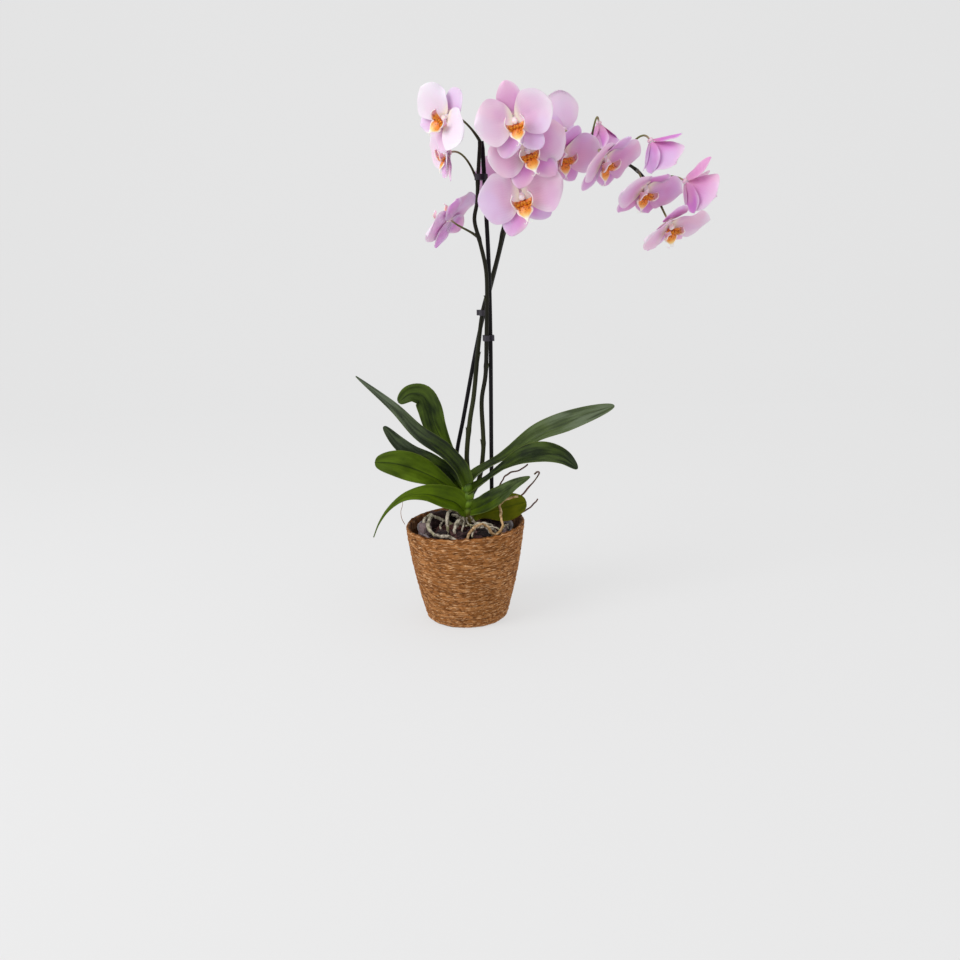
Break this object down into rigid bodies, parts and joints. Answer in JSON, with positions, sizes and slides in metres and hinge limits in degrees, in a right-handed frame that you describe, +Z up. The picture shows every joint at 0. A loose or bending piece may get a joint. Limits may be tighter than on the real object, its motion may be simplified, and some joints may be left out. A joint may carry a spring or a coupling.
{
  "type": "potted moth orchid",
  "caption": "Moth orchid with arching sprays of lilac pink blooms over strap leaves, tied to sticks in a bark-filled pot inside a tapered seagrass basket.",
  "frame": {"origin": "middle of the basket's underside, on the surface that it stands on", "axes": "+Z up, -Y towards the side that the picture shows, +X to its right"},
  "size_m": [0.441, 0.1906, 0.6545],
  "materials": {
    "seagrass": "rows of twisted grass cord, golden brown",
    "pot_plastic": "thin clouded plastic",
    "bark": "rough dark bark chips",
    "stem": "smooth light green, brown at the foot",
    "leaf": "satin, leathery, with a midrib",
    "old_leaf": "satin olive green",
    "spike": "satin dark green brown",
    "stick": "satin black",
    "clip": "matt black",
    "root_grey": "silvery velvet skin",
    "root_tan": "matt, dry",
    "root_brown": "matt, dry",
    "petal": "soft, translucent, pale lilac pink",
    "lip": "waxy, orange and yellow with red brown spots"
  },
  "bodies": {
    "root": {"basket": "seagrass", "nursery_pot": "pot_plastic", "bark": "bark", "stem": "stem", "roots_grey": "root_grey", "roots_tan": "root_tan", "roots_brown": "root_brown", "stick_1": "stick", "stick_2": "stick", "spike_left": "spike", "spike_right": "spike", "clip_1": "clip", "clip_2": "clip", "clip_3": "clip", "leaf_1": "leaf", "leaf_2": "leaf", "leaf_3": "leaf", "leaf_4": "leaf", "leaf_5": "leaf", "leaf_6": "leaf", "leaf_7": "leaf", "leaf_8": "leaf", "leaf_9": "old_leaf", "bloom_01_petals": "petal", "bloom_01_lip": "lip", "bloom_02_petals": "petal", "bloom_02_lip": "lip", "bloom_03_petals": "petal", "bloom_03_lip": "lip", "bloom_04_petals": "petal", "bloom_04_lip": "lip", "bloom_05_petals": "petal", "bloom_05_lip": "lip", "bloom_06_petals": "petal", "bloom_06_lip": "lip", "bloom_07_petals": "petal", "bloom_07_lip": "lip", "bloom_08_petals": "petal", "bloom_08_lip": "lip", "bloom_09_petals": "petal", "bloom_09_lip": "lip", "bloom_10_petals": "petal", "bloom_10_lip": "lip", "bloom_11_petals": "petal", "bloom_11_lip": "lip", "bloom_12_petals": "petal", "bloom_12_lip": "lip", "bloom_13_petals": "petal", "bloom_13_lip": "lip", "bloom_14_petals": "petal", "bloom_14_lip": "lip", "bloom_15_petals": "petal", "bloom_15_lip": "lip"}
  },
  "joints": []
}
